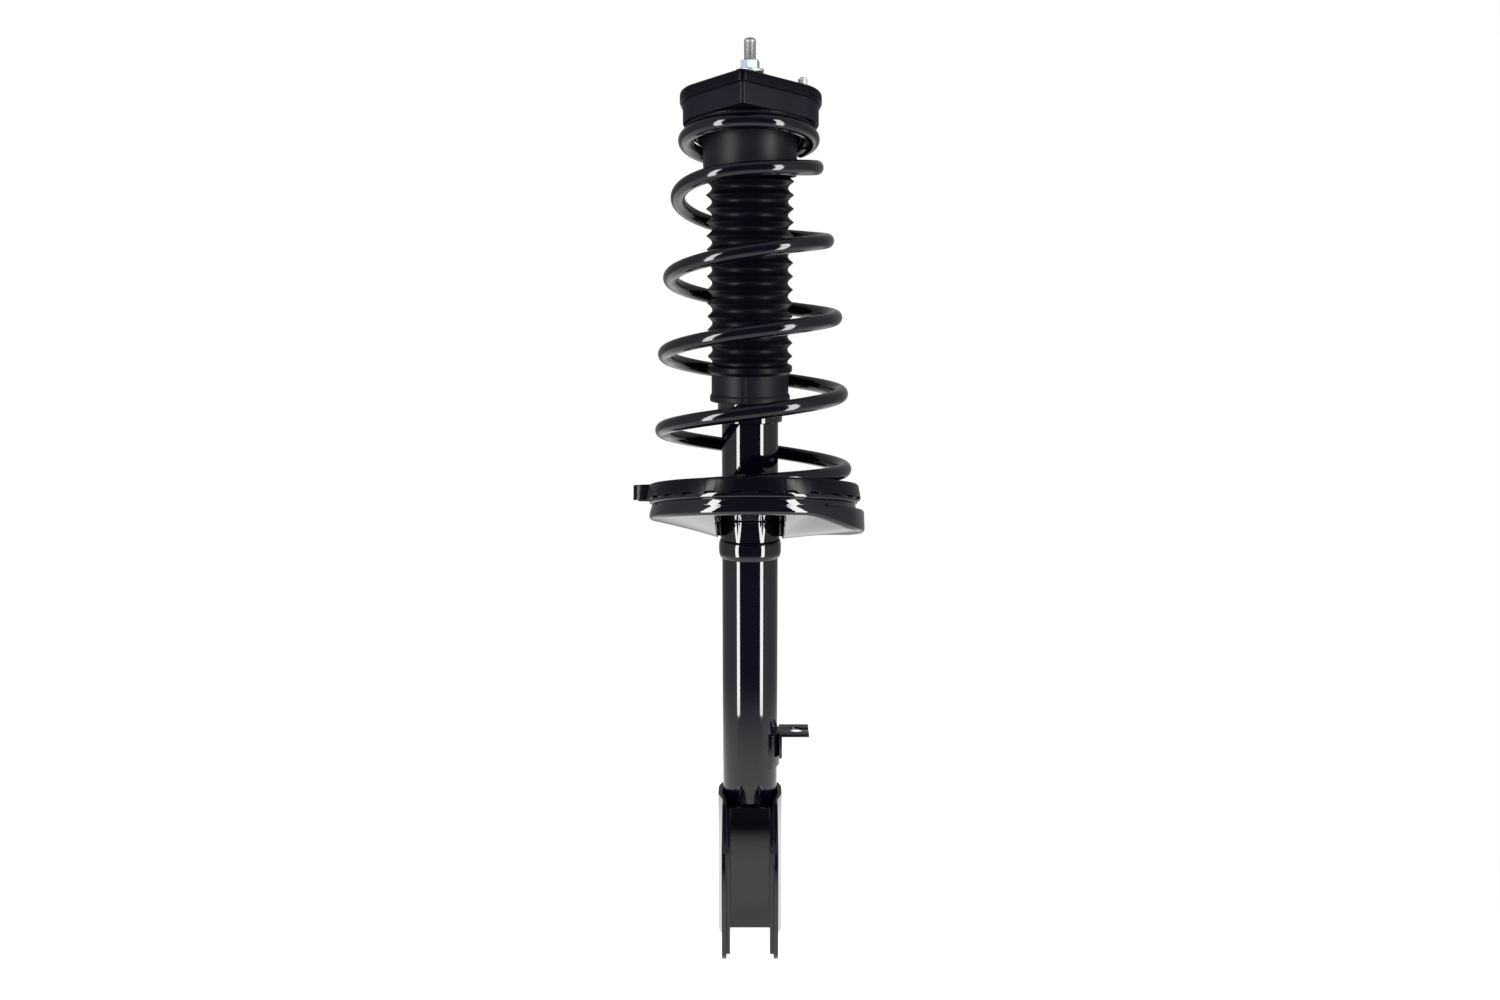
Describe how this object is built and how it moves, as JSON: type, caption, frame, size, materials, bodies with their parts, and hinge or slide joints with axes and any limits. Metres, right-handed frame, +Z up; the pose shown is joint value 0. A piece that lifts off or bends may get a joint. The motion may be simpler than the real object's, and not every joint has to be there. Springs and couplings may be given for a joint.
{
  "type": "suspension strut assembly",
  "caption": "Automotive suspension strut: twin-tube damper with inclined coil spring, rubber top mount, dust boot, spring seats and clevis bracket.",
  "frame": {"origin": "where the damper's axis crosses the top mount's fixing face", "axes": "+Z up along the damper's axis, -Y towards the wheel and its knuckle, +X along the knuckle bracket's bolts"},
  "size_m": [0.192, 0.1847, 0.77],
  "materials": {
    "satin_black_steel": "satin",
    "gloss_black_steel": "gloss",
    "spring_coating": "gloss",
    "black_rubber": "matte",
    "cup_rubber": "satin",
    "boot_rubber": "satin",
    "isolator_rubber": "satin",
    "urethane_foam": "matte",
    "rod_steel": "satin",
    "plain_steel": "satin",
    "zinc_plate": "satin",
    "blue_zinc_plate": "satin",
    "sintered_iron": "matte",
    "bush_bronze": "satin",
    "piston_band": "matte"
  },
  "bodies": {
    "top_mount": {"mount_plate": "satin_black_steel", "mount_housing": "satin_black_steel", "mount_rubber": "black_rubber", "mount_sleeve": "plain_steel", "mount_stud": "zinc_plate", "mount_weld_nuts": "zinc_plate", "rod_washer": "zinc_plate", "rod_nut": "blue_zinc_plate", "upper_spring_seat": "satin_black_steel", "upper_isolator": "black_rubber", "bumper_cup": "cup_rubber", "jounce_bumper": "urethane_foam", "piston_rod": "rod_steel", "rebound_stop": "plain_steel", "rebound_cushion": "black_rubber", "piston": "sintered_iron", "piston_band": "piston_band", "piston_discs": "plain_steel", "piston_nut": "plain_steel", "coil_spring": "spring_coating"},
    "damper": {"dust_boot": "boot_rubber", "reserve_tube": "gloss_black_steel", "pressure_tube": "plain_steel", "rod_guide": "sintered_iron", "guide_bush": "bush_bronze", "oil_seal": "black_rubber", "tube_end_cap": "gloss_black_steel", "lower_spring_seat": "gloss_black_steel", "lower_isolator": "isolator_rubber", "seat_hub": "gloss_black_steel", "seat_support_ring": "gloss_black_steel", "base_valve": "sintered_iron", "base_valve_discs": "plain_steel", "tube_base": "gloss_black_steel", "knuckle_bracket": "gloss_black_steel", "bracket_liner": "gloss_black_steel", "hose_bracket": "gloss_black_steel"}
  },
  "joints": [
    {"name": "damper_stroke", "type": "slide", "parent": "top_mount", "child": "damper", "axis": [0, 0, 1], "range_m": [0, 0.11], "stiffness_N_per_m": 24000, "springref_m": -0.03, "deforming": ["coil_spring", "dust_boot"]}
  ]
}
